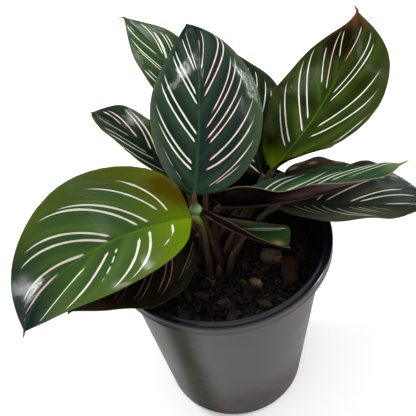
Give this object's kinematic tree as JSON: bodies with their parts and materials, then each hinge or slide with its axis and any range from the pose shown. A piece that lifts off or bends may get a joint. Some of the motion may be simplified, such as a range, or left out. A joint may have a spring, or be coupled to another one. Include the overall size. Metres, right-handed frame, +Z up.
{
  "type": "potted pinstripe calathea",
  "caption": "Pinstripe calathea with broad pointed leaves in fine pale stripes, burgundy beneath, standing in bark mix in a round tapered plastic nursery pot.",
  "frame": {"origin": "middle of the pot's flat base, on the surface that the pot stands on", "axes": "+Z up along the pot's axis; the plant is seen from the -Y side, with +X to the right"},
  "size_m": [0.2761, 0.2314, 0.2222],
  "materials": {
    "pot_plastic": "satin charcoal moulded plastic, lightly scuffed",
    "bark_mix": "damp bark chips and peat",
    "calathea_leaf": "glossy green leaf with fine pink to cream stripes, burgundy beneath",
    "leaf_sheath": "fibrous sheath, olive or dried to tan"
  },
  "bodies": {
    "root": {"pot": "pot_plastic", "potting_mix": "bark_mix", "leaf_centre": "calathea_leaf", "leaf_left": "calathea_leaf", "leaf_right": "calathea_leaf", "leaf_back_left": "calathea_leaf", "leaf_small_left": "calathea_leaf", "leaf_back_right": "calathea_leaf", "leaf_folded": "calathea_leaf", "leaf_low_right": "calathea_leaf", "leaf_curled_front": "calathea_leaf", "leaf_under_left": "calathea_leaf", "leaf_behind_fold": "calathea_leaf", "sheath_olive_tall": "leaf_sheath", "sheath_olive_short": "leaf_sheath", "sheath_dry_left": "leaf_sheath", "sheath_dry_front": "leaf_sheath"}
  },
  "joints": []
}
